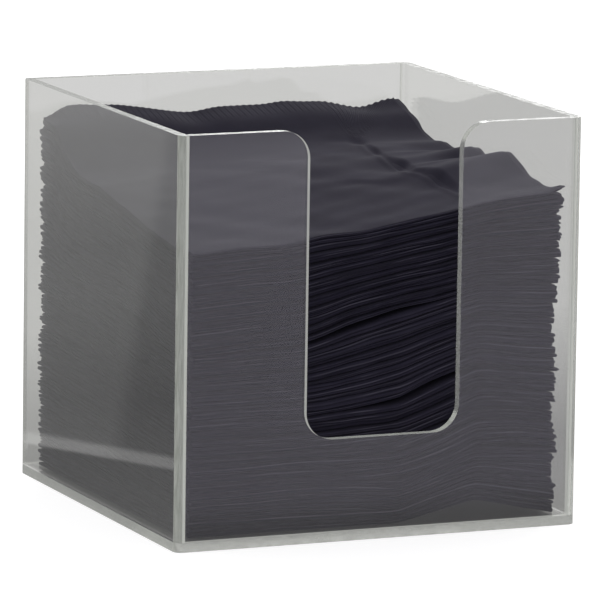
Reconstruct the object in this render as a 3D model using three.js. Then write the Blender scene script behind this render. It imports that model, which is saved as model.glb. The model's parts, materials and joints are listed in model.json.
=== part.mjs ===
// Counter-top napkin dispenser: an open-topped box of five cemented acrylic panels, with a finger
// slot cut down from the rim of the front panel, holding a pile of quarter-folded paper napkins.
// Millimetres, +Z up. Origin: centre of the underside. -Y is the front (slot) side, +X its right.
import * as THREE from 'three';

// Box
const BOX_WIDTH = 184;
const BOX_DEPTH = 184;
const BOX_HEIGHT = 175.5;
const SHEET = 4;                   // thickness of the acrylic sheet
const CORNER = 3.6;                // radius of the four upright corners
const CEMENT = 0.1;                // thickness of the cement between two panels

// Finger slot in the front panel
const SLOT_WIDTH = 70;
const SLOT_CENTRE = 1.3;           // it sits a little to the right of the middle
const SLOT_FLOOR = 44;             // height of the slot's lower edge above the table
const SLOT_RADIUS = 12;            // at the two inner corners and at the two lips of the rim

// Napkin pile: four refill packs, then loose napkins, each one folded in quarters
const PILE_LEFT = -83;
const PILE_RIGHT = 83.5;
const PILE_FRONT = -83.5;
const PILE_BACK = 83.5;
const PACKS = [9, 12, 12, 15];     // napkins in each refill pack, bottom to top
const LOOSE_NAPKINS = 4;           // they lie within the height of the top pack
const CLEARANCE = 0.4;             // gap between one napkin and the next
const RAGGED = 0.5;                // how far the edges of single napkins are out of line
const UNEVEN = 0.45;               // how much single napkins are thicker or thinner than the mean

// Heights of the surfaces between the packs, bottom to top. Each one is given at five stations
// across the width: along the front edge, at the foot of the rise at the back, and along the back.
const STATIONS = [PILE_LEFT, -31, 13, 48, PILE_RIGHT];
const RISE_START = 42;             // y where the embossed cut edges start to lift the pile
const REST = SHEET + 0.1;          // underside of the pile
const LEVELS = [
  { front: [REST, REST, REST, 11.8, REST],
    foot: [REST, REST, REST, REST, REST],
    back: [REST, REST, REST, REST, REST] },
  { front: [24.5, 25.5, 23, 35, 33],
    foot: [30.5, 30.5, 29.5, 32.5, 31.5],
    back: [32.5, 32.5, 31.5, 33.5, 32.5] },
  { front: [52.5, 52.5, 56, 69, 65],
    foot: [61, 61, 61, 66, 64],
    back: [63, 64, 63, 66, 65] },
  { front: [81, 83, 94.5, 102.5, 100.5],
    foot: [93.5, 94.5, 96.5, 100.5, 99.5],
    back: [96.5, 98.5, 98.5, 101.5, 100.5] },
  { front: [125, 128, 133.5, 140, 144],
    foot: [141, 144, 147, 148, 147],
    back: [160.5, 160, 160, 160.5, 158] },
];
// Hollows where a pack bridges over a dip in the one below: pack, centre, height and reach
const HOLLOWS = [
  { under: 3, x: 0, y: -84, height: 2.6, reachX: 22, reachY: 30 },
  { under: 3, x: -40, y: -84, height: 1.2, reachX: 26, reachY: 24 },
  { under: 3, x: -84, y: -25, height: 4, reachX: 28, reachY: 24 },
  { under: 2, x: 25, y: -84, height: 2.6, reachX: 22, reachY: 30 },
  { under: 1, x: 10, y: -84, height: 2.2, reachX: 13, reachY: 26 },
  { under: 1, x: 62, y: -84, height: 2, reachX: 15, reachY: 26 },
];
// Humps on the top sheet: centre, height and reach in x and y
const HUMPS = [
  { x: 84, y: -33, height: 6, reachX: 34, reachY: 18 },
  { x: 84, y: 4, height: 1.5, reachX: 26, reachY: 12 },
  { x: -68, y: 80, height: 4, reachX: 24, reachY: 24 },
];

// Grid of each napkin: two cells from station to station, and lines that meet the foot of the rise
const LINES_X = gridLines(STATIONS, [2, 2, 2, 2]);
const LINES_Y = gridLines([PILE_FRONT, RISE_START, PILE_BACK], [5, 3]);

const acrylic = new THREE.MeshStandardMaterial({
  color: 0xc9cec6, roughness: 0.05, metalness: 0, transparent: true, opacity: 0.3,
});
const tissue = new THREE.MeshStandardMaterial({ color: 0x211d2b, roughness: 0.95, metalness: 0 });

const dispenser = new THREE.Group();

function addPart(name, geometry, material, x, y, z) {
  const mesh = new THREE.Mesh(geometry, material);
  mesh.name = name;
  mesh.position.set(x, y, z);
  dispenser.add(mesh);
}

function gridLines(stops, cells) {
  const lines = [stops[0]];
  cells.forEach((count, i) => {
    for (let n = 1; n <= count; n += 1) {
      lines.push(THREE.MathUtils.lerp(stops[i], stops[i + 1], n / count));
    }
  });
  return lines;
}

// Panels: the base carries the walls, and the side walls cover the ends of the front and back
function addPanels() {
  const wallFoot = SHEET + CEMENT;
  const wallHeight = BOX_HEIGHT - wallFoot;
  const innerWidth = BOX_WIDTH - 2 * (SHEET + CEMENT);
  const sideX = (BOX_WIDTH - SHEET) / 2;
  addPart('base_panel', roundedPlate(BOX_WIDTH / 2, BOX_WIDTH, true, SHEET), acrylic, 0, 0, 0);
  addPart('back_panel', new THREE.BoxGeometry(innerWidth, SHEET, wallHeight), acrylic,
    0, (BOX_DEPTH - SHEET) / 2, wallFoot + wallHeight / 2);
  addPart('right_panel', roundedPlate(SHEET / 2, SHEET, false, wallHeight), acrylic, sideX, 0, wallFoot);
  addPart('left_panel', roundedPlate(SHEET / 2, SHEET, false, wallHeight).rotateZ(Math.PI), acrylic,
    -sideX, 0, wallFoot);
  addPart('front_panel', frontPanelGeometry(innerWidth, wallHeight), acrylic,
    0, -BOX_DEPTH / 2 + SHEET, wallFoot);
}

// Plate of the box's full depth, extruded upwards. Its right corners are rounded in plan, and on
// request its left corners too.
function roundedPlate(right, width, bothSides, height) {
  const half = BOX_DEPTH / 2;
  const left = right - width;
  const r = CORNER;
  const quarter = Math.PI / 2;
  const plan = new THREE.Shape();
  plan.moveTo(right - r, -half);
  plan.absarc(right - r, -half + r, r, -quarter, 0, false);
  plan.absarc(right - r, half - r, r, 0, quarter, false);
  if (bothSides) {
    plan.absarc(left + r, half - r, r, quarter, 2 * quarter, false);
    plan.absarc(left + r, -half + r, r, 2 * quarter, 3 * quarter, false);
  } else {
    plan.lineTo(left, half);
    plan.lineTo(left, -half);
  }
  plan.closePath();
  return new THREE.ExtrudeGeometry(plan, { depth: height, bevelEnabled: false, curveSegments: 10 });
}

// U-shaped front panel, drawn in x and height above its foot, extruded towards -Y
function frontPanelGeometry(width, wallHeight) {
  const half = width / 2;
  const slotLeft = SLOT_CENTRE - SLOT_WIDTH / 2;
  const slotRight = SLOT_CENTRE + SLOT_WIDTH / 2;
  const floor = SLOT_FLOOR - SHEET - CEMENT;
  const r = SLOT_RADIUS;
  const quarter = Math.PI / 2;
  const outline = new THREE.Shape();
  outline.moveTo(-half, 0);
  outline.lineTo(half, 0);
  outline.lineTo(half, wallHeight);
  outline.lineTo(slotRight + r, wallHeight);
  outline.absarc(slotRight + r, wallHeight - r, r, quarter, 2 * quarter, false);
  outline.lineTo(slotRight, floor + r);
  outline.absarc(slotRight - r, floor + r, r, 0, -quarter, true);
  outline.lineTo(slotLeft + r, floor);
  outline.absarc(slotLeft + r, floor + r, r, -quarter, -2 * quarter, true);
  outline.lineTo(slotLeft, wallHeight - r);
  outline.absarc(slotLeft - r, wallHeight - r, r, 0, quarter, false);
  outline.lineTo(-half, wallHeight);
  const panel = new THREE.ExtrudeGeometry(outline, { depth: SHEET, bevelEnabled: false, curveSegments: 16 });
  return panel.rotateX(quarter);
}

function ease(t) {
  const c = THREE.MathUtils.clamp(t, 0, 1);
  return c * c * (3 - 2 * c);
}

// Height across the width, eased from one station to the next
function acrossWidth(heights, x) {
  let i = 0;
  while (i < STATIONS.length - 2 && x > STATIONS[i + 1]) i += 1;
  const t = (x - STATIONS[i]) / (STATIONS[i + 1] - STATIONS[i]);
  return THREE.MathUtils.lerp(heights[i], heights[i + 1], ease(t));
}

// Height of the surface under pack number `level` (the last level is the top of the pile)
function levelHeight(level, x, y) {
  const { front, foot, back } = LEVELS[level];
  if (y < RISE_START) {
    const t = (y - PILE_FRONT) / (RISE_START - PILE_FRONT);
    const eased = 0.5 * (t + ease(t));
    return THREE.MathUtils.lerp(acrossWidth(front, x), acrossWidth(foot, x), eased);
  }
  const t = (y - RISE_START) / (PILE_BACK - RISE_START);
  return THREE.MathUtils.lerp(acrossWidth(foot, x), acrossWidth(back, x), ease(t));
}

// Rounded swellings, each with a centre, a height and a reach in x and y
function swell(list, x, y) {
  let sum = 0;
  for (const s of list) {
    const far = ((x - s.x) / s.reachX) ** 2 + ((y - s.y) / s.reachY) ** 2;
    sum += s.height * Math.exp(-far);
  }
  return sum;
}

// Height at a share of the way up through a pack; only the upper napkins take up the humps
function layerHeight(pack, share, x, y) {
  const low = levelHeight(pack, x, y) + swell(HOLLOWS.filter((h) => h.under === pack), x, y);
  const high = levelHeight(pack + 1, x, y);
  const humps = pack === PACKS.length - 1 ? swell(HUMPS, x, y) * share ** 2 : 0;
  return low + (high - low) * share + humps;
}

// Shares of a pack's height at which its napkins meet, from 0 at the bottom to 1 at the top
function layerShares(layers) {
  const shares = [0];
  for (let n = 0; n < layers; n += 1) {
    shares.push(shares[n] + 1 + UNEVEN * Math.sin(2.4 * n + layers));
  }
  return shares.map((share) => share / shares[layers]);
}

// A grid line's position, moved a little out of line where it is an edge of the napkin
function linePosition(lines, i, number, turn) {
  const edge = i === 0 || i === lines.length - 1;
  return lines[i] + (edge ? RAGGED * Math.sin(2.4 * number + turn + i) : 0);
}

// Closed slab between two layer heights: a grid on top, the same grid below, and a skirt round it
function napkinGeometry(number, lowerHeight, upperHeight) {
  const points = [];
  const faces = [];
  const cellsX = LINES_X.length - 1;
  const cellsY = LINES_Y.length - 1;
  const index = (side, i, j) => (side * (cellsY + 1) + j) * (cellsX + 1) + i;
  for (const height of [lowerHeight, upperHeight]) {
    for (let j = 0; j <= cellsY; j += 1) {
      for (let i = 0; i <= cellsX; i += 1) {
        const x = linePosition(LINES_X, i, number, 0);
        const y = linePosition(LINES_Y, j, number, 2);
        points.push(x, y, height(x, y));
      }
    }
  }
  for (let j = 0; j < cellsY; j += 1) {
    for (let i = 0; i < cellsX; i += 1) {
      const [a, b, c, d] = [index(1, i, j), index(1, i + 1, j), index(1, i + 1, j + 1), index(1, i, j + 1)];
      faces.push(a, b, c, a, c, d);
      const [e, f, g, h] = [index(0, i, j), index(0, i + 1, j), index(0, i + 1, j + 1), index(0, i, j + 1)];
      faces.push(e, g, f, e, h, g);
    }
  }
  const rim = [];
  for (let i = 0; i < cellsX; i += 1) rim.push([i, 0]);
  for (let j = 0; j < cellsY; j += 1) rim.push([cellsX, j]);
  for (let i = cellsX; i > 0; i -= 1) rim.push([i, cellsY]);
  for (let j = cellsY; j > 0; j -= 1) rim.push([0, j]);
  rim.forEach(([i, j], n) => {
    const [k, l] = rim[(n + 1) % rim.length];
    faces.push(index(0, i, j), index(0, k, l), index(1, k, l));
    faces.push(index(0, i, j), index(1, k, l), index(1, i, j));
  });
  const geometry = new THREE.BufferGeometry();
  geometry.setAttribute('position', new THREE.Float32BufferAttribute(points, 3));
  geometry.setIndex(faces);
  return geometry;
}

function addPile() {
  let number = 0;
  PACKS.forEach((count, pack) => {
    const loose = pack === PACKS.length - 1 ? LOOSE_NAPKINS : 0;
    const layers = count + loose;
    const shares = layerShares(layers);
    for (let n = 0; n < layers; n += 1) {
      const name = n < count ? `pack_${pack + 1}_napkin_${n + 1}` : `loose_napkin_${n - count + 1}`;
      const lower = (x, y) => layerHeight(pack, shares[n], x, y) + CLEARANCE / 2;
      const upper = (x, y) => layerHeight(pack, shares[n + 1], x, y) - CLEARANCE / 2;
      addPart(name, napkinGeometry(number, lower, upper), tissue, 0, 0, 0);
      number += 1;
    }
  });
}

addPanels();
addPile();

export default dispenser;
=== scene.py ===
"""Napkin dispenser: a clear acrylic box with a finger slot, full of dark quarter-folded napkins.

The CAD model is the frame. Its panels are kept and get rounded edges and a clear material. Each
napkin solid is replaced by a real folded sheet that takes its heights from that solid.
Lengths are in metres; MM turns millimetres into them.
"""

import json
import math

import bpy
import numpy as np
from mathutils import Matrix, Vector


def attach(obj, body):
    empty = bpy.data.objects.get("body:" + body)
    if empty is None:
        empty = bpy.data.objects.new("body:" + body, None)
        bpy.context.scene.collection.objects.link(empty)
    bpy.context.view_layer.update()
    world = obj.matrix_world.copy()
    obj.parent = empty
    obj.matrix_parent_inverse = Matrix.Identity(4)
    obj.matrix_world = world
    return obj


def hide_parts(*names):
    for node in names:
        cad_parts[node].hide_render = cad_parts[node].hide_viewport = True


MM = 0.001

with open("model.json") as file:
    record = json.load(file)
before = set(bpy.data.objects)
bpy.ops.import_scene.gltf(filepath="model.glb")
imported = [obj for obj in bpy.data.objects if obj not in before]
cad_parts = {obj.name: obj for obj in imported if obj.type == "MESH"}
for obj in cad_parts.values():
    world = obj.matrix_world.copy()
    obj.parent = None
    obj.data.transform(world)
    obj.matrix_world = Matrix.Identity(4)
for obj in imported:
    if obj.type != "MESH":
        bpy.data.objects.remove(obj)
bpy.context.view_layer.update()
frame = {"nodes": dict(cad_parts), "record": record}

# ---------------------------------------------------------------- shader helpers


class Shader:
    """A small builder for node trees."""

    def __init__(self, tree):
        self.tree = tree
        tree.nodes.clear()

    def node(self, kind, inputs=None, **settings):
        made = self.tree.nodes.new(kind)
        for name, value in settings.items():
            setattr(made, name, value)
        for name, value in (inputs or {}).items():
            socket = made.inputs[name]
            if isinstance(value, bpy.types.NodeSocket):
                self.tree.links.new(value, socket)
            else:
                socket.default_value = value
        return made

    def math(self, operation, a, b=0.0):
        return self.node("ShaderNodeMath", {0: a, 1: b}, operation=operation).outputs[0]

    def plus(self, a, b):
        return self.math("ADD", a, b)

    def minus(self, a, b):
        return self.math("SUBTRACT", a, b)

    def times(self, a, b):
        return self.math("MULTIPLY", a, b)

    def absolute(self, a):
        return self.math("ABSOLUTE", a)

    def larger(self, a, b):
        return self.math("MAXIMUM", a, b)

    def mapped(self, value, low, high, to_low=0.0, to_high=1.0, smooth=True):
        """value's range low..high, carried over to to_low..to_high."""
        ends = {"From Min": low, "From Max": high, "To Min": to_low, "To Max": to_high}
        made = self.node(
            "ShaderNodeMapRange",
            {"Value": value, **ends},
            interpolation_type="SMOOTHSTEP" if smooth else "LINEAR",
        )
        return made.outputs["Result"]

    def beyond(self, x, y, point, normal):
        """How far (x, y) lies beyond the line through a point, in the direction of its normal."""
        along_x = self.times(self.minus(x, point[0]), normal[0])
        return self.plus(along_x, self.times(self.minus(y, point[1]), normal[1]))

    def mixed(self, share, a, b):
        made = self.node("ShaderNodeMix", {"Factor": share, "A": a, "B": b}, data_type="RGBA")
        return made.outputs["Result"]

    def blend(self, share, a, b):
        """Shader a, with a share of shader b."""
        return self.node("ShaderNodeMixShader", {0: share, 1: a, 2: b}).outputs[0]

    def glow(self, colour, strength=1.0):
        made = self.node("ShaderNodeEmission", {"Color": colour, "Strength": strength})
        return made.outputs[0]

    def noise(self, vector, scale, detail=2.0, roughness=0.5):
        made = self.node(
            "ShaderNodeTexNoise",
            {"Vector": vector, "Scale": scale, "Detail": detail, "Roughness": roughness},
        )
        return made.outputs["Fac"]

    def attribute(self, name):
        return self.node("ShaderNodeAttribute", attribute_name=name).outputs["Vector"]

    def parts(self, vector):
        return self.node("ShaderNodeSeparateXYZ", {0: vector}).outputs


def material(name):
    made = bpy.data.materials.new(name)
    made.use_nodes = True
    return made, Shader(made.node_tree)


# ---------------------------------------------------------------- clear acrylic

ACRYLIC_TINT = (0.935, 0.936, 0.925, 1.0)  # what one face of a panel lets through
ACRYLIC_BODY = (0.64, 0.665, 0.61, 1.0)  # the tint of long ways through a sheet
ACRYLIC_DENSITY = 3.0
EDGE_ROUGHNESS = 0.2
LONG_WAY = 12.0  # bounces, after which a painted glow stands in for light piped along the sheet
WALL_PAINTED_GLOW = ((0.25, 0.26, 0.24, 1.0), (0.38, 0.39, 0.37, 1.0))  # least and greatest painted glow, in place of piped light
BASE_PAINTED_GLOW = ((0.42, 0.43, 0.41, 1.0), (0.80, 0.81, 0.77, 1.0))
PAINTED_EDGE_HIGHLIGHT = (0.62, 0.63, 0.60, 1.0)  # painted highlight of broken edges and ends
PAINTED_CUT_EDGE_HIGHLIGHT = (0.55, 0.56, 0.53, 1.0)  # painted highlight of cut edges that are seen from inside the sheet


def polished_and_cut(s, place, across):
    """The two faces, whose normals point across the sheet, are polished. The cut edges are
    satin, with saw marks."""
    is_face = s.mapped(s.absolute(across), 0.5, 0.95)
    saw_marks = s.noise(place, 300.0)
    cut = s.mapped(saw_marks, 0.3, 0.7, EDGE_ROUGHNESS * 0.7, EDGE_ROUGHNESS * 1.3)
    return s.node(
        "ShaderNodeBsdfPrincipled",
        {
            "Base Color": ACRYLIC_TINT,
            "Roughness": s.times(cut, s.minus(1.0, is_face)),
            "IOR": 1.49,
            "Transmission Weight": 1.0,
        },
    ).outputs[0]


def joints_and_slot(s, surface, window, normals, inside):
    """The front and back panel: light passes through the cement at their ends, and their other
    cut edges get a painted highlight when they are seen from inside the sheet."""
    joint = s.mapped(s.absolute(normals["X"]), 0.9, 0.97, 0.0, 0.6)
    # the cut edges that get the painted highlight
    cut = s.mapped(s.absolute(normals["Y"]), 0.1, 0.3, 0.6, 0.0)
    return s.blend(s.times(cut, inside), s.blend(joint, surface, window), s.glow(PAINTED_CUT_EDGE_HIGHLIGHT))


def painted_highlight_lines(s, axis, normals):
    """Where a painted highlight line is drawn: on the broken edges of the front and back panel, and
    on the flat of a side wall's end, beside its rounded corner."""
    tilt = s.absolute(normals["Y"])
    if axis == "X":
        return s.mapped(tilt, 0.955, 0.985, 0.0, 0.45)
    return s.times(s.minus(s.mapped(tilt, 0.15, 0.3), s.mapped(tilt, 0.95, 0.985)), 0.75)


def acrylic_material(axis):
    """Clear cast acrylic, for a sheet that is thin along the given axis. Lamps shine through it:
    shadow and diffuse rays see a plain tint. The painted glow of its edges isn't sampled as a lamp."""
    made, s = material("acrylic_" + axis.lower())
    made.cycles.emission_sampling = "NONE"
    place = s.node("ShaderNodeTexCoord").outputs["Object"]
    geometry = s.node("ShaderNodeNewGeometry").outputs
    normals = s.parts(geometry["True Normal"])
    path = s.node("ShaderNodeLightPath").outputs
    lets_through = s.larger(path["Is Shadow Ray"], path["Is Diffuse Ray"])
    window = s.node("ShaderNodeBsdfTransparent", {"Color": ACRYLIC_TINT}).outputs[0]
    surface = s.blend(lets_through, polished_and_cut(s, place, normals[axis]), window)

    # painted glow, in patches, in place of light piped along the sheet after many bounces
    painted_glow_patches = s.mapped(s.noise(place, 90.0, 3.0, 0.6), 0.35, 0.65)
    piped = s.glow(s.mixed(painted_glow_patches, *(BASE_PAINTED_GLOW if axis == "Z" else WALL_PAINTED_GLOW)))
    surface = s.blend(s.math("GREATER_THAN", path["Ray Depth"], LONG_WAY), surface, piped)
    if axis == "Y":
        inside = s.times(geometry["Backfacing"], s.minus(1.0, lets_through))
        surface = joints_and_slot(s, surface, window, normals, inside)
    if axis != "Z":
        # painted highlight lines on the edges, seen by the camera only
        line = s.times(painted_highlight_lines(s, axis, normals), path["Is Camera Ray"])
        surface = s.blend(line, surface, s.glow(PAINTED_EDGE_HIGHLIGHT))

    body = s.node("ShaderNodeVolumeAbsorption", {"Color": ACRYLIC_BODY, "Density": ACRYLIC_DENSITY})
    s.node("ShaderNodeOutputMaterial", {"Surface": surface, "Volume": body.outputs[0]})
    return made


# ---------------------------------------------------------------- tissue

NAPKIN_COLOUR = (0.0178, 0.0162, 0.0275, 1.0)
NAPKIN_COLOUR_WORN = (0.027, 0.0248, 0.040, 1.0)
# painted highlight on the front folds
NAPKIN_PAINTED_HIGHLIGHT = (0.085, 0.081, 0.103, 1.0)
# painted shade in the creases and lines beside the front folds
NAPKIN_PAINTED_SHADE = (0.005, 0.0045, 0.0075, 1.0)
RIB_PITCH = 3.0 * MM  # of the ribs that emboss the cut edges


def tissue_relief(s, flat, fibres, rib):
    """A fine pebbled emboss, loose fibres, and a ribbed border along the cut edges."""
    pebbles = s.node(
        "ShaderNodeTexVoronoi", {"Vector": flat, "Scale": 950.0, "Randomness": 0.6}
    ).outputs["Distance"]
    ribs = s.math("SINE", s.times(rib["X"], 2 * math.pi / (RIB_PITCH / 2)))
    height = s.plus(s.times(pebbles, 0.08), s.times(fibres, 0.2))
    height = s.plus(height, s.times(s.times(ribs, rib["Y"]), 0.25))
    relief = s.node("ShaderNodeBump", {"Strength": 0.7, "Distance": 0.3 * MM, "Height": height})
    return relief.outputs["Normal"]


def folds_with_painted_light(s, colour, flat, in_fold):
    """The fold at the front gets a paler painted highlight along its ridge. Beside it are a darker
    painted shade in a crease and faint lines of painted shade. They wander along the fold, and
    differently on each napkin."""
    own = s.times(s.node("ShaderNodeObjectInfo").outputs["Random"], 3.0)
    where = s.node("ShaderNodeCombineXYZ", {"X": s.parts(flat)["X"], "Y": own}).outputs[0]
    wander = s.times(s.minus(s.noise(where, 16.0, 1.0), 0.5), 1.6)
    comes_and_goes = s.mapped(s.noise(where, 40.0), 0.38, 0.62, 0.05, 0.9)
    wandering = s.minus(in_fold, wander)

    # painted highlight along the ridge of the fold
    painted_ridge_highlight = s.mapped(s.absolute(s.minus(wandering, 0.35)), 0.04, 0.24, 1.0, 0.0)
    # painted shade in a crease beside the fold
    crease = s.mapped(s.absolute(s.plus(wandering, 0.1)), 0.03, 0.2, 0.7, 0.0)
    # faint lines of painted shade
    lines = s.math("SINE", s.plus(s.times(wandering, 8.5), s.times(own, 7.0)))
    lines = s.times(s.mapped(lines, -0.4, 1.0, 0.0, 0.55), comes_and_goes)
    only_fold = s.mapped(s.absolute(in_fold), 1.0, 1.4, 1.0, 0.0)

    colour = s.mixed(s.times(painted_ridge_highlight, comes_and_goes), colour, NAPKIN_PAINTED_HIGHLIGHT)
    colour = s.mixed(crease, colour, NAPKIN_PAINTED_SHADE)
    return s.mixed(s.times(lines, only_fold), colour, NAPKIN_PAINTED_SHADE)


def napkin_material():
    """Dark tissue, a little worn in blotches."""
    made, s = material("napkin_tissue")
    flat = s.attribute("flat")
    rib = s.parts(s.attribute("rib"))
    fibres = s.noise(flat, 1900.0, 2.0, 0.7)
    worn = s.plus(s.times(s.noise(flat, 60.0, 4.0, 0.6), 0.6), s.times(fibres, 0.4))
    colour = s.mixed(s.mapped(worn, 0.35, 0.7), NAPKIN_COLOUR, NAPKIN_COLOUR_WORN)
    tissue = s.node(
        "ShaderNodeBsdfPrincipled",
        {
            "Base Color": folds_with_painted_light(s, colour, flat, rib["Z"]),
            "Roughness": s.mapped(fibres, 0.3, 0.7, 0.85, 0.98),
            "Specular IOR Level": 0.15,
            "Sheen Weight": 0.05,
            "Sheen Roughness": 0.6,
            "Sheen Tint": (0.85, 0.8, 1.0, 1.0),
            "Normal": tissue_relief(s, flat, fibres, rib),
        },
    ).outputs[0]
    s.node("ShaderNodeOutputMaterial", {"Surface": tissue})
    return made


# ---------------------------------------------------------------- floor

DIMMEST = (-0.22, 0.22, 0.0)  # the place behind the box where the floor glows least, the heart of a painted shadow
GLOW_FAR = 0.67  # strengths of the glow behind the box, far from it and near it
GLOW_NEAR = 0.33
GLOW_IN_FRONT = 0.80
# two lines on the floor, each given by a point on it and its normal
SHADOW_END = ((-0.116, 0.157), (-0.892, 0.452))
MIDDLE_LINE = ((0.0, 0.0), (0.906, 0.39))
TINT_BEHIND = (1.0, 1.0, 0.99, 1.0)
TINT_IN_FRONT = (1.0, 0.967, 1.09, 1.0)


def glow_behind(s, place, x, y):
    """Strength of the glow behind the box and on its left. It rises away from the dimmest place,
    which is a painted shadow of the box, and on the right it rises straight back from the box."""
    away = s.node(
        "ShaderNodeVectorMath", {0: place, 1: DIMMEST}, operation="DISTANCE"
    ).outputs["Value"]
    left = s.mapped(away, 0.0, 0.3, GLOW_NEAR, 0.46, smooth=False)
    left = s.plus(left, s.mapped(away, 0.45, 0.95, 0.0, 0.21, smooth=False))
    right = s.mapped(y, 0.10, 0.42, GLOW_NEAR, GLOW_FAR, smooth=False)
    right = s.larger(right, s.mapped(away, 0.8, 1.2, GLOW_NEAR, GLOW_FAR))
    return s.plus(left, s.times(s.minus(right, left), s.mapped(x, -0.12, -0.06)))


def with_shadow_on_left(s, strength, x, y):
    """On the left the box's shadow ends in a bright line. Further to the front a shade goes on
    past that line."""
    on_left = s.mapped(x, -0.09, -0.10)
    past_end = s.beyond(x, y, *SHADOW_END)
    in_front = s.mapped(s.beyond(x, y, *MIDDLE_LINE), -0.082, -0.092, 0.0, 0.22)
    shaded = s.larger(in_front, s.mapped(past_end, 0.004, -0.004, 0.0, 0.25))
    line = s.times(s.mapped(past_end, -0.003, 0.003), s.mapped(past_end, 0.026, 0.014))
    strength = s.times(strength, s.minus(1.0, s.times(shaded, on_left)))
    return s.plus(strength, s.times(s.times(line, on_left), 0.35))


def floor_material():
    """A pale sweep. The camera sees it nearly white, with a faint shadow. All other rays see its
    painted glow, which is brighter in front, dimmer behind and on the left, and dark under the box,
    where a shadow is painted."""
    made, s = material("floor_pale")
    place = s.node("ShaderNodeNewGeometry").outputs["Position"]
    x, y, _ = s.parts(place)
    behind = glow_behind(s, place, x, y)
    in_front = s.mapped(y, -0.05, -0.20)
    strength = s.plus(behind, s.times(s.minus(GLOW_IN_FRONT, behind), in_front))
    strength = with_shadow_on_left(s, strength, x, y)
    # a painted shadow under the box, in the glow
    off_middle = s.larger(s.absolute(x), s.absolute(y))
    strength = s.times(strength, s.mapped(off_middle, 0.080, 0.094, 0.14, 1.0))
    glow = s.glow(s.mixed(in_front, TINT_BEHIND, TINT_IN_FRONT), strength)

    shadowed = s.node("ShaderNodeBsdfDiffuse", {"Color": (0.5, 0.5, 0.5, 1.0)}).outputs[0]
    lift = s.glow((0.80, 0.80, 0.80, 1.0))
    white = s.node("ShaderNodeAddShader", {0: shadowed, 1: lift}).outputs[0]
    seen = s.node("ShaderNodeLightPath").outputs["Is Camera Ray"]
    s.node("ShaderNodeOutputMaterial", {"Surface": s.blend(seen, glow, white)})
    return made


# ---------------------------------------------------------------- acrylic box

PANEL_AXES = {"base": "Z", "front": "Y", "back": "Y", "left": "X", "right": "X"}
BROKEN_EDGE = 0.3 * MM
BROKEN_EDGE_OF_FRONT = 0.7 * MM  # the edges round the slot are rounder


def finish_panels():
    """Weld the CAD faces together, break the sharp edges, and keep the faces flat-shaded."""
    clear = {axis: acrylic_material(axis) for axis in "XYZ"}
    for name in frame["record"]["behaviour"]["bodies"]["box"]:
        panel = frame["nodes"][name]
        panel.data.materials.clear()
        panel.data.materials.append(clear[PANEL_AXES[name.split("_")[0]]])
        for face in panel.data.polygons:
            face.use_smooth = True
        weld = panel.modifiers.new("weld", "WELD")
        weld.merge_threshold = 0.01 * MM
        bevel = panel.modifiers.new("broken_edges", "BEVEL")
        bevel.width = BROKEN_EDGE_OF_FRONT if name == "front_panel" else BROKEN_EDGE
        bevel.segments = 3
        bevel.limit_method = "ANGLE"
        bevel.angle_limit = math.radians(50)
        even = panel.modifiers.new("flat_faces", "WEIGHTED_NORMAL")
        even.weight = 100


# ---------------------------------------------------------------- smooth functions


class Waves:
    """A smooth random surface of about unit height: a sum of plane waves, the same each run."""

    def __init__(self, rng, longest, shortest, count=6):
        turn = rng.uniform(0, 2 * np.pi, count)
        number = 2 * np.pi / np.exp(rng.uniform(np.log(shortest), np.log(longest), count))
        self.kx, self.ky = number * np.cos(turn), number * np.sin(turn)
        self.phase = rng.uniform(0, 2 * np.pi, count)

    def __call__(self, x, y):
        total = 0.0
        for kx, ky, phase in zip(self.kx, self.ky, self.phase):
            total = total + np.sin(kx * x + ky * y + phase)
        return total / math.sqrt(len(self.phase) / 2)


def ease(t):
    t = np.clip(t, 0, 1)
    return t * t * (3 - 2 * t)


def bump(t, at, reach):
    return np.exp(-(((t - at) / reach) ** 2))


def hill(x, y, at_x, at_y, reach_x, reach_y, height=1.0):
    return height * np.exp(-(((x - at_x) / reach_x) ** 2) - ((y - at_y) / reach_y) ** 2)


# ---------------------------------------------------------------- heights from the CAD

KINKS = (13 * MM, 48 * MM)  # where the lower packs are bent
KINK_SHARPNESS = 0.65


def slopes(knots, sharp):
    """Weights that give the slope just left and just right of each knot."""
    n = len(knots)
    secant = np.zeros((n - 1, n))
    for k in range(n - 1):
        steepness = 1 / (knots[k + 1] - knots[k])
        secant[k, k], secant[k, k + 1] = -steepness, steepness
    left, right = np.zeros((n, n)), np.zeros((n, n))
    for k in range(n):
        before, after = secant[max(k - 1, 0)], secant[min(k, n - 2)]
        mean = (before + after) / 2
        keep = KINK_SHARPNESS if any(abs(knots[k] - s) < 0.5 * MM for s in sharp) else 0.0
        left[k] = mean + keep * (before - mean)
        right[k] = mean + keep * (after - mean)
    return left, right


def hermite(t, step, values, slope_after, slope_before):
    """The cubic through two values, with the slope just after the first and before the second."""
    first, second = (1 + 2 * t) * (1 - t) ** 2, t * t * (3 - 2 * t)
    bent = t * (1 - t) ** 2 * slope_after + t * t * (t - 1) * slope_before
    return first * values[0] + second * values[1] + step * bent


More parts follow.
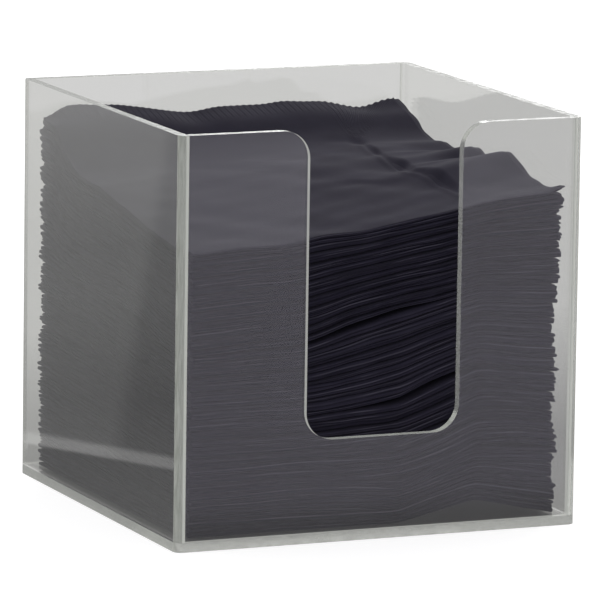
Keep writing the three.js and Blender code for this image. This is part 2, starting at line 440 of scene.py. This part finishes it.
def surface(xs, ys, values):
    """The smooth surface through heights that are given on a grid, as a function of x and y."""
    left_x, right_x = (w @ values.T for w in slopes(xs, KINKS))
    before_y, after_y = (w @ values for w in slopes(ys, ()))
    before_left, before_right = (w @ before_y.T for w in slopes(xs, KINKS))
    after_left, after_right = (w @ after_y.T for w in slopes(xs, KINKS))

    def at(x, y):
        i = np.clip(np.searchsorted(xs, x) - 1, 0, len(xs) - 2)
        j = np.clip(np.searchsorted(ys, y) - 1, 0, len(ys) - 2)
        step_x, step_y = xs[i + 1] - xs[i], ys[j + 1] - ys[j]
        t = np.clip((x - xs[i]) / step_x, -0.2, 1.2)
        u = np.clip((y - ys[j]) / step_y, -0.2, 1.2)

        def along_x(grid, row, right, left):
            ends = (grid[row, i], grid[row, i + 1])
            return hermite(t, step_x, ends, right[i, row], left[i + 1, row])

        ends = (along_x(values, j, right_x, left_x), along_x(values, j + 1, right_x, left_x))
        after = along_x(after_y, j, after_right, after_left)
        before = along_x(before_y, j + 1, before_right, before_left)
        return hermite(u, step_y, ends, after, before)

    return at


def heights_of(node):
    """Grid lines and the lower and upper heights of a napkin solid."""
    points = np.array([v.co for v in frame["nodes"][node].data.vertices], float)
    xs, ys = (np.unique(np.round(points[:, axis], 7)) for axis in (0, 1))
    low, high = np.full((len(ys), len(xs)), np.inf), np.full((len(ys), len(xs)), -np.inf)
    for x, y, z in points:
        i, j = np.argmin(abs(xs - x)), np.argmin(abs(ys - y))
        low[j, i], high[j, i] = min(low[j, i], z), max(high[j, i], z)
    return xs, ys, low, high


# ---------------------------------------------------------------- folded napkins

PLY = 0.30 * MM  # thickness of the tissue
FOLD = 0.75 * MM  # distance between the plies of one napkin where it is folded
CAD_GAP = 0.4 * MM  # air between two napkin solids
EVEN_THICKNESS = 2.2 * MM  # a napkin stands forward where its front is thinner than this
LONG_WAVE, SHORT_WAVE = 90 * MM, 14 * MM  # of the uneven edges
UNEVEN_RIGHT, UNEVEN_BACK = 0.5 * MM, 0.4 * MM  # spread of the plies' cut edges
UNEVEN_FRONT, UNEVEN_LEFT = 0.42 * MM, 0.18 * MM  # spread of the napkins' folds
LAYER_SLIP = 0.45 * MM  # spread of the two layers of a napkin on the right
JOINED = 25 * MM  # from a fold, the distance in which its plies come apart
BORDER = 13 * MM  # width of the ribbed border
PINCH = (47 * MM, 44 * MM)  # where the top napkins are pinched at the foot of their rise
# how far the right edge of the pile stands out at each height, in millimetres
RIGHT_EDGE = (
    (5, -1.2),
    (11, 1),
    (19, 0.6),
    (27, -1),
    (34, 1.6),
    (38, 1.4),
    (42, -1),
    (59, -0.2),
    (67, 1),
    (85, -1),
    (92, 0),
    (101, 0),
    (110, 1),
    (122, 1.4),
    (130, 0.8),
    (137, 1.8),
    (141, 2.4),
    (145, -2.8),
)


def sheet_lines(length, cells, angles, power):
    """Lines on one half of a sheet: fold angles from 0 to a quarter turn, then distances.
    The distances are closest together near both ends."""
    t = np.linspace(0, 1, cells + 1)[1:]
    t = t - power * (np.sin(2 * np.pi * t) / (2 * np.pi))
    turn = np.concatenate([np.linspace(0, np.pi / 2, angles + 1), np.full(cells, np.pi / 2)])
    return turn, np.concatenate([np.zeros(angles + 1), t * length])


def both_halves(minus, plus):
    """Joins the lines of the two halves of a sheet, with a side of -1 or +1 for each line."""
    turn = np.concatenate([-minus[0][:0:-1], plus[0]])
    out = np.concatenate([minus[1][:0:-1], plus[1]])
    return turn, out, np.where(np.arange(len(turn)) < len(minus[0]) - 1, -1.0, 1.0)


class FoldedGrid:
    """The grid of one sheet, folded in quarters. u runs across the first fold, on the left, and
    v across the second, at the front. For each point, turn is its angle round the fold, out its
    distance from it, and side the half of the sheet that it is on."""

    def __init__(self, xs, ys, is_top):
        self.left, self.front = xs[0], ys[0]
        self.width, self.depth = xs[-1] - xs[0], ys[-1] - ys[0]
        w, d = self.width, self.depth
        if is_top:
            u_lines = both_halves(sheet_lines(w, 250, 3, 0.0), sheet_lines(w, 50, 3, 0.3))
            v_lines = both_halves(sheet_lines(d, 26, 4, 0.5), sheet_lines(d, 110, 4, 0.3))
        else:
            half_u, half_v = sheet_lines(w, 52, 2, 0.2), sheet_lines(d, 26, 6, 0.5)
            u_lines, v_lines = both_halves(half_u, half_u), both_halves(half_v, half_v)
        self.turn_u, self.turn_v = np.meshgrid(u_lines[0], v_lines[0])
        self.out_u, self.out_v = np.meshgrid(u_lines[1], v_lines[1])
        self.side_u, self.side_v = np.meshgrid(u_lines[2], v_lines[2])
        # 1.5 on the outer half of the sheet, 0.5 on the inner half
        self.ply = 1 - 0.5 * np.sin(self.turn_u)
        self.level = self.ply * np.sin(self.turn_v)

    def folded(self):
        """x and y of the points of the folded sheet."""
        x = self.left + 0.5 * FOLD * (1 - np.cos(self.turn_u)) + self.out_u
        y = self.front + FOLD * (1.5 - self.ply * np.cos(self.turn_v)) + self.out_v
        return x, y

    def laid_flat(self):
        across = self.side_u * (self.out_u + self.turn_u * self.side_u * FOLD * 0.5)
        return np.stack([across, self.side_v * self.out_v, np.zeros_like(across)], -1)

    def in_fold(self):
        """-1..1 round the front fold, and further from 0 away from it."""
        return np.sin(self.turn_v) + self.side_v * np.minimum(self.out_v / MM, 8)


def ragged(grid, rng, stands_out, forward, has_groove):
    """x and y of the points of an uneven napkin. Each ply ends a little further out or in at the
    cut edges, but the folds stay joined. The two layers at the front fold part a little, which
    leaves a groove along it."""
    x, y = grid.folded()
    wave_right, wave_back, wave_front, wave_left = (
        Waves(rng, LONG_WAVE, SHORT_WAVE) for _ in range(4)
    )
    layer = (grid.side_u > 0).astype(int)
    ply_number = layer * 2 + (grid.side_v > 0)
    from_front = ease((y - grid.front) / JOINED)
    from_left = ease((x - grid.left) / JOINED)
    grow_x = from_front * rng.normal(0, UNEVEN_RIGHT, 4)[ply_number]
    grow_x = grow_x + 0.3 * MM * wave_right(y, 0.02 * ply_number)
    grow_x = grow_x + stands_out * (1 - 0.6 * from_front)
    grow_y = from_left * rng.normal(0, UNEVEN_BACK, 4)[ply_number]
    grow_y = grow_y + 0.3 * MM * wave_back(x, 0.02 * ply_number)
    shift_front = rng.normal(0, UNEVEN_FRONT) - forward + 0.25 * MM * wave_front(x, 0)
    shift_left = rng.normal(0, UNEVEN_LEFT) + 0.15 * MM * wave_left(y, 0)

    groove_at = rng.uniform(-0.35, 0.35) + 0.15 * wave_front(x, 0.05)
    groove = rng.uniform(0.2, 0.8) * MM * bump(np.sin(grid.turn_v), groove_at, 0.22)
    groove = groove * (1 - ease((y - grid.front) / (3 * MM)))
    grow_x = grow_x + rng.normal(0, LAYER_SLIP, 2)[layer]

    share_x, share_y = (x - grid.left) / grid.width, (y - grid.front) / grid.depth
    x = x + shift_left * (1 - share_x) + grow_x * share_x
    y = y + shift_front * (1 - share_y) + grow_y * share_y
    return x, (y + groove if has_groove else y)


def ribs_of(x, y, back, is_top):
    """Phase coordinate of the embossed ribs, and how strong they are, at points of a napkin.
    On the top napkin the ribs right of the pinch spread from it like a fan."""
    border = ease((y - (back - BORDER)) / (4 * MM))
    if not is_top:
        return x, border
    to_edge = (back - PINCH[1]) / np.maximum(y - PINCH[1], 4 * MM)
    spread = PINCH[0] + (x - PINCH[0]) * to_edge
    fan = ease((x - 44 * MM) / (6 * MM)) * ease((y - PINCH[1] - 3 * MM) / (6 * MM))
    inside = ease((spread - 36 * MM) / (10 * MM)) * ease((92 * MM - spread) / (14 * MM))
    return x + (spread - x) * fan, np.maximum(0.5 * border, fan * inside)


def top_details(grid, x, y, z, rib, border):
    """Ribs and scallops on the cut edges of the uppermost ply, and its curled corners."""
    upper_ply = (grid.side_u < 0) & (grid.side_v > 0)
    wave = np.sin(2 * np.pi * rib / RIB_PITCH) * border
    near_edge = ease((y - 80 * MM) / (3 * MM))
    z = z + np.where(upper_ply, 0.15 * MM * wave + 0.08 * MM * wave * near_edge, 0)
    y = y + np.where(upper_ply, 0.3 * MM * wave * near_edge, 0)
    tip = ease((x - 74 * MM) / (10 * MM)) * ease((-72 * MM - y) / (11 * MM))
    left_back = ease((-74 * MM - x) / (10 * MM)) * ease((y - 72 * MM) / (12 * MM))
    x = x + 2.6 * MM * tip + 1.0 * MM * left_back
    return x, y - 0.8 * MM * tip, z + 2.2 * MM * tip * tip


def grid_object(name, x, y, z):
    """A mesh object from three arrays of the same shape."""
    rows, columns = x.shape
    points = np.stack([x, y, z], -1).reshape(-1, 3)
    index = np.arange(rows * columns).reshape(rows, columns)
    corners = (index[:-1, :-1], index[:-1, 1:], index[1:, 1:], index[1:, :-1])
    faces = np.stack(corners, -1).reshape(-1, 4)
    mesh = bpy.data.meshes.new(name)
    mesh.vertices.add(len(points))
    mesh.vertices.foreach_set("co", points.astype(np.float32).ravel())
    mesh.loops.add(faces.size)
    mesh.loops.foreach_set("vertex_index", faces.astype(np.int32).ravel())
    mesh.polygons.add(len(faces))
    mesh.polygons.foreach_set("loop_start", np.arange(0, faces.size, 4, dtype=np.int32))
    mesh.polygons.foreach_set("loop_total", np.full(len(faces), 4, dtype=np.int32))
    mesh.update(calc_edges=True)
    mesh.polygons.foreach_set("use_smooth", np.ones(len(faces), dtype=bool))
    made = bpy.data.objects.new(name, mesh)
    bpy.context.scene.collection.objects.link(made)
    return made


def folded_napkin(node, number, is_top, bottom, top, tissue):
    """The folded sheet for one napkin solid, between the pile's shifted surfaces bottom and top.
    The cut edges are on the right and at the back."""
    rng = np.random.default_rng(100 + number)
    xs, ys, low, high = heights_of(node)
    lower, upper = surface(xs, ys, low), surface(xs, ys, high)
    grid = FoldedGrid(xs, ys, is_top)

    edge_heights, edge_places = np.array(RIGHT_EDGE).T * MM
    right_height = float(upper(xs[-1], ys[0]))
    stands_out = 0.0 if is_top else np.interp(right_height, edge_heights, edge_places)
    forward = 0.5 * (EVEN_THICKNESS - float(upper(0.0, ys[0]) - lower(0.0, ys[0])))
    x, y = ragged(grid, rng, stands_out, forward, not is_top)

    z_low = lower(x, y) + bottom(x, y) - 0.3 * CAD_GAP
    z_high = upper(x, y) + top(x, y) + 0.3 * CAD_GAP
    middle, half = (z_low + z_high) / 2, (z_high - z_low) / 2
    z = middle + grid.level / 1.5 * (half - PLY * 0.6)
    rib, border = ribs_of(x, y, ys[-1], is_top)
    if is_top:
        x, y, z = top_details(grid, x, y, z, rib, border)

    piece = grid_object("folded_" + node, x, y, z)
    marks = np.stack([rib, border, grid.in_fold()], -1)
    for label, vector in (("flat", grid.laid_flat()), ("rib", marks)):
        attribute = piece.data.attributes.new(label, "FLOAT_VECTOR", "POINT")
        attribute.data.foreach_set("vector", vector.astype(np.float32).ravel())
    thick = piece.modifiers.new("tissue_thickness", "SOLIDIFY")
    thick.thickness = PLY
    thick.offset = 0
    piece.data.materials.append(tissue)
    return piece


# ---------------------------------------------------------------- the pile's surfaces

# these shapes, crease_relief and front_relief are in millimetres
CREASE = (  # y and x of the foot of the crease that runs from the pinch to the front
    (-84, 47.5),
    (-36, 46.5),
    (-26, 45),
    (-23, 42),
    (-10, 43.3),
    (5, 43),
    (29, 45.7),
    (44, 48),
)
CLIFFS = ((24, 13, 1.9), (-8, 10, 3.4), (-42, 17, 3.3))  # along the crease: y, reach and height
# hills and dips: x, y, their reach in x and y, and height
PINCH_DIPS = ((47, 43, 3.5, 5, -1.2), (41, 47, 9, 4, -0.5))
RIDGES = (
    (84, 33, 30, 8, 1.6),
    (84, 0, 26, 9, 3.4),
    (84, 18, 30, 4.5, -0.8),
    (84, -10.5, 26, 4.5, -1.6),
    (62, -16, 16, 2.5, 0.6),
    (66, 13, 16, 3, 0.5),
    (84, -33, 30, 13, 2.0),
    (84, 66, 24, 12, 1.2),
    (86, 86, 12, 9, 2.8),
)
BACK_EDGE = ((-18, 84, 9, 26, -1.9), (64, 84, 11, 16, -2.2), (31, 84, 12, 20, 0.8))
WRINKLES = Waves(np.random.default_rng(3), 42, 13, 7)


def crease_relief(x, y):
    """The crease from the pinch to the front: a small cliff on its right, a low rim on its left."""
    crease_y, crease_x = zip(*CREASE)
    past_foot = x - np.interp(y, crease_y, crease_x)
    drop = sum(height * bump(y, at, reach) for at, reach, height in CLIFFS)
    wide = 3.0 + 2.2 * ease((8 - y) / 8)
    cliff = drop * (ease(past_foot / wide) - 0.5) * bump(past_foot, wide / 2, 18)
    rim = 0.4 * bump(past_foot, -1.2, 1.6) * ease((46 - y) / 8) * ease((y + 84) / 20)
    return cliff + rim


def front_relief(x, y):
    """A soft ledge and wrinkles on the front part."""
    ledge_y = -19 - 8 * ease((x - 16) / 14)
    ledge = 0.9 * (ease((y - ledge_y + 4) / 8) - 0.5) * hill(x, y, 20, ledge_y, 17, 13)
    return ledge + 0.2 * WRINKLES(x / 1.7, y) * ease((38 - y) / 14)


def top_relief(x, y):
    """What the top of the pile has beyond the CAD's smooth shape: the crease and the ridges
    beside it, dips in the back edge, the rounded back left corner, and the front's wrinkles."""
    x, y = x / MM, y / MM
    hills = sum(hill(x, y, *shape) for shape in PINCH_DIPS + RIDGES + BACK_EDGE)
    corner = -5.0 * ease((-70 - x) / 16) * ease((y - 66) / 18)
    return (crease_relief(x, y) + hills + corner + front_relief(x, y)) * MM


def pile_shift(number, total):
    """How far the surface under napkin `number` is moved up or down from the CAD's height."""
    rng = np.random.default_rng(500 + number)
    wide, fine = Waves(rng, 160 * MM, 60 * MM), Waves(rng, 45 * MM, 14 * MM)
    edge = 0.0 if number in (0, total) else 1.0
    near_top = max(0.0, 1 - (total - number) / 12)

    def shift(x, y):
        moved = edge * (0.14 * MM * wide(x, y) + 0.08 * MM * fine(x, y))
        return moved + near_top * top_relief(x, y) if near_top else moved

    return shift


def make_napkins(tissue):
    """Replaces every napkin solid, from the base upwards. Each napkin rests on the one below."""
    bodies = frame["record"]["behaviour"]["bodies"]
    nodes = [(node, body) for body, members in bodies.items() if body != "box" for node in members]
    total = len(nodes)
    shifts = [pile_shift(number, total) for number in range(total + 1)]
    for number, (node, body) in enumerate(nodes):
        is_top = number == total - 1
        piece = folded_napkin(node, number, is_top, shifts[number], shifts[number + 1], tissue)
        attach(piece, body)
        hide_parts(node)


# ---------------------------------------------------------------- stage, light and camera

CAMERA_AZIMUTH = math.radians(-23.171)
CAMERA_ELEVATION = math.radians(9.745)
CAMERA_ROLL = math.radians(0.821)
CAMERA_DISTANCE = 2.8286
CAMERA_AIM = Vector((0.0016, -0.0008, 0.0871))
LENS_MM = 392.66
SENSOR_MM = 36

FLOOR_SIZE = 8
LAMP_AIM = (0, 0, 0.1)
# metres, and watts for the power
KEY_SIZE, KEY_PLACE, KEY_POWER = 0.9, (0.90, 1.30, 0.95), 10.5
OVERHEAD_SIZE, OVERHEAD_PLACE, OVERHEAD_POWER = 1.2, (-0.2, -0.1, 1.9), 2
WORLD_IN_FRONT = (0.405, 0.40, 0.43, 1.0)
WORLD_BEHIND = (0.67, 0.67, 0.665, 1.0)
MAX_BOUNCES = 32  # light is piped along the acrylic sheets by many reflections


def add_camera():
    data = bpy.data.cameras.new("camera")
    data.lens = LENS_MM
    data.sensor_width = SENSOR_MM
    data.clip_start, data.clip_end = 0.1, 60
    camera = bpy.data.objects.new("camera", data)
    flat = math.cos(CAMERA_ELEVATION)
    forward = Vector(
        (
            -math.sin(CAMERA_AZIMUTH) * flat,
            math.cos(CAMERA_AZIMUTH) * flat,
            -math.sin(CAMERA_ELEVATION),
        )
    )
    level = forward.cross(Vector((0, 0, 1))).normalized()
    upright = level.cross(forward)
    right = math.cos(CAMERA_ROLL) * level + math.sin(CAMERA_ROLL) * upright
    up = right.cross(forward)
    turned = Matrix((right, up, -forward)).transposed().to_4x4()
    camera.matrix_world = Matrix.Translation(CAMERA_AIM - forward * CAMERA_DISTANCE) @ turned
    bpy.context.scene.collection.objects.link(camera)
    bpy.context.scene.camera = camera


def add_lamp(name, size, at, power, through_glass=True):
    """A square lamp. With through_glass off, refracted rays don't see it."""
    data = bpy.data.lights.new(name, "AREA")
    data.shape = "RECTANGLE"
    data.size, data.size_y = size, size
    data.energy = power
    lamp = bpy.data.objects.new(name, data)
    lamp.location = at
    lamp.rotation_euler = (Vector(LAMP_AIM) - Vector(at)).to_track_quat("-Z", "Y").to_euler()
    lamp.visible_transmission = through_glass
    bpy.context.scene.collection.objects.link(lamp)


def add_world():
    """White to the camera. All other rays see a duller glow, dimmest in front."""
    world = bpy.data.worlds.new("studio")
    world.use_nodes = True
    s = Shader(world.node_tree)
    direction = s.node("ShaderNodeTexCoord").outputs["Generated"]
    dull = s.mixed(s.mapped(s.parts(direction)["Y"], -0.8, 0.6), WORLD_IN_FRONT, WORLD_BEHIND)
    seen = s.node("ShaderNodeLightPath").outputs["Is Camera Ray"]
    colour = s.mixed(seen, dull, (1.0, 1.0, 1.0, 1.0))
    light = s.node("ShaderNodeBackground", {"Color": colour, "Strength": 1.0}).outputs[0]
    s.node("ShaderNodeOutputWorld", {"Surface": light})
    bpy.context.scene.world = world


def add_stage():
    bpy.ops.mesh.primitive_plane_add(size=FLOOR_SIZE, location=(0, 0, -0.2 * MM))
    floor = bpy.context.active_object
    floor.name = "floor"
    floor.data.materials.append(floor_material())
    add_world()
    add_lamp("key_behind", KEY_SIZE, KEY_PLACE, KEY_POWER, through_glass=False)
    add_lamp("overhead", OVERHEAD_SIZE, OVERHEAD_PLACE, OVERHEAD_POWER)


def set_view_and_bounces():
    scene = bpy.context.scene
    scene.view_settings.view_transform = "Standard"
    scene.cycles.max_bounces = MAX_BOUNCES
    scene.cycles.glossy_bounces = MAX_BOUNCES
    scene.cycles.transmission_bounces = MAX_BOUNCES
    scene.cycles.transparent_max_bounces = MAX_BOUNCES


add_camera()
add_stage()
finish_panels()
make_napkins(napkin_material())
set_view_and_bounces()
